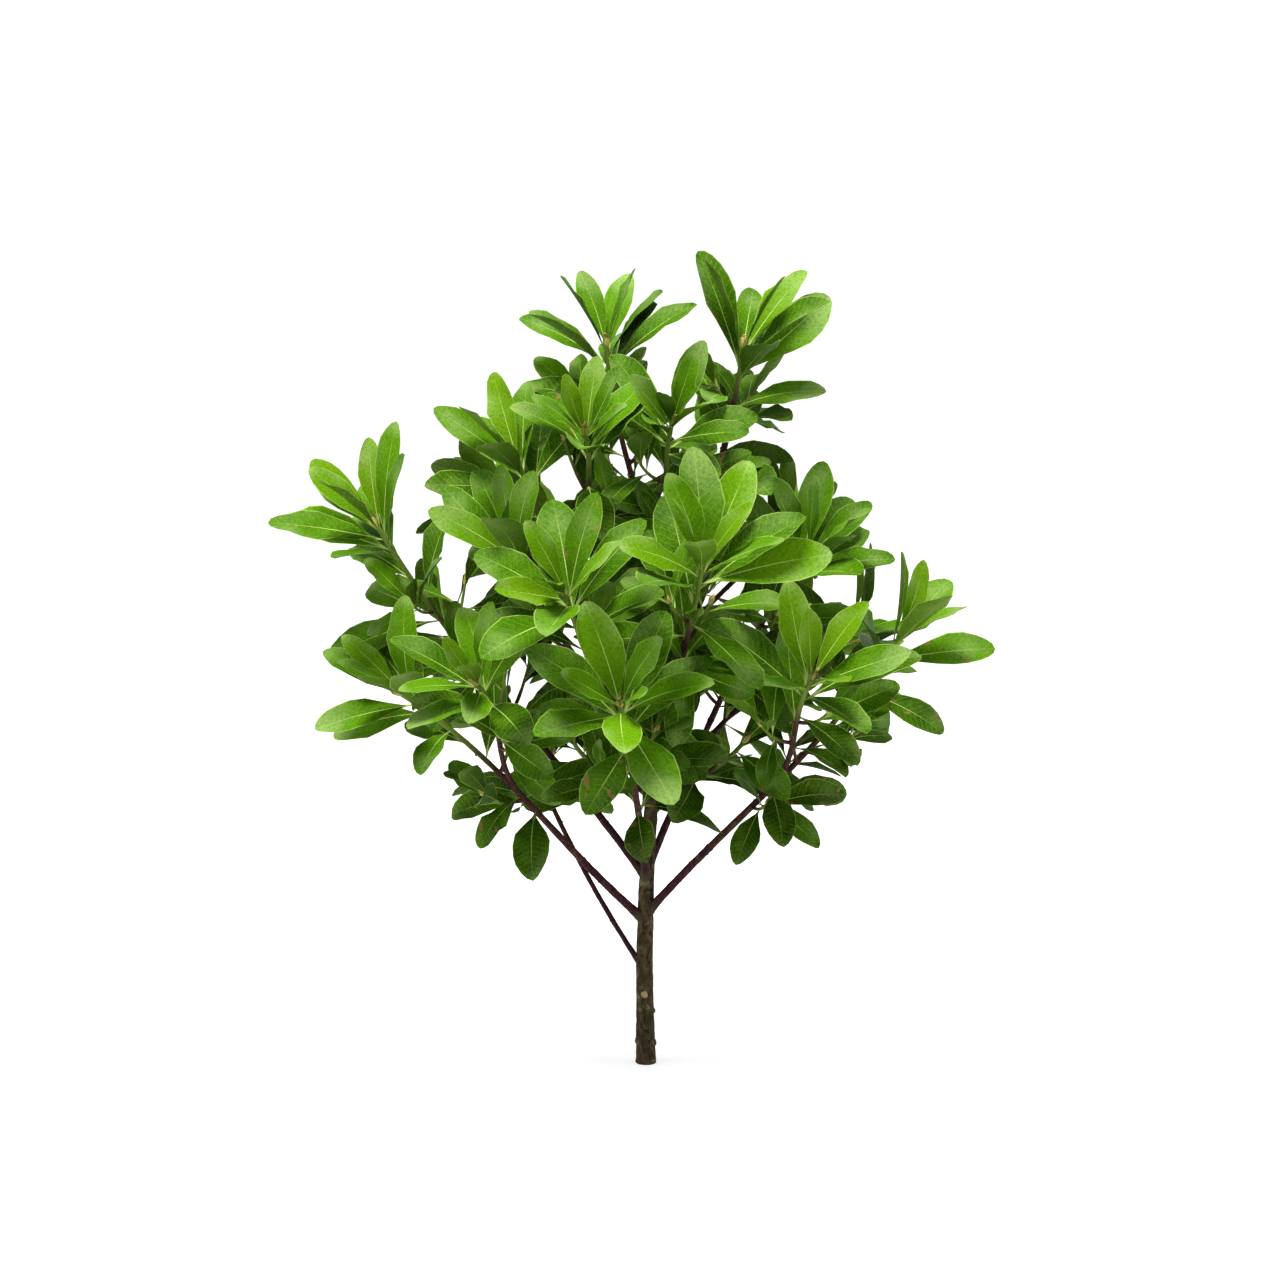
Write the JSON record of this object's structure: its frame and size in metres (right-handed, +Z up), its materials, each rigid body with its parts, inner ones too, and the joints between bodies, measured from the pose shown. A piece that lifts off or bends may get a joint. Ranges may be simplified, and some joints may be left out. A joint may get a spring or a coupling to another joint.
{
  "type": "pittosporum shrub",
  "caption": "Young evergreen shrub rooted in the ground: slim trunk, thin rising boughs and whorls of glossy spoon-shaped green leaves.",
  "frame": {"origin": "centre of the flat cut under the trunk, at ground level", "axes": "+Z up along the trunk, -Y towards the shrub's front as pictured, +X to its right seen from the front"},
  "size_m": [0.6099, 0.619, 0.7142],
  "materials": {
    "bark": "matt, grey-brown with darker and greener patches",
    "foliage": "leathery, satin green"
  },
  "bodies": {
    "root": {"bough_back_left": "bark", "bough_back_left_low": "bark", "bough_back_low": "bark", "bough_back_right": "bark", "bough_back_right_low": "bark", "bough_back_upper": "bark", "bough_front_left": "bark", "bough_front_low": "bark", "bough_front_right": "bark", "bough_inner_left": "bark", "bough_inner_right": "bark", "bough_left_low": "bark", "bough_left_middle": "bark", "bough_right_low": "bark", "bough_right_middle": "bark", "bough_top_left": "bark", "bough_upper_left": "bark", "bough_upper_middle": "bark", "foliage_back_left": "foliage", "foliage_back_left_low": "foliage", "foliage_back_low": "foliage", "foliage_back_right": "foliage", "foliage_back_right_low": "foliage", "foliage_back_upper": "foliage", "foliage_front_left": "foliage", "foliage_front_low": "foliage", "foliage_front_right": "foliage", "foliage_inner_left": "foliage", "foliage_inner_right": "foliage", "foliage_left_low": "foliage", "foliage_left_middle": "foliage", "foliage_right_low": "foliage", "foliage_right_middle": "foliage", "foliage_top_left": "foliage", "foliage_top_right": "foliage", "foliage_upper_left": "foliage", "foliage_upper_middle": "foliage", "trunk": "bark"}
  },
  "joints": []
}
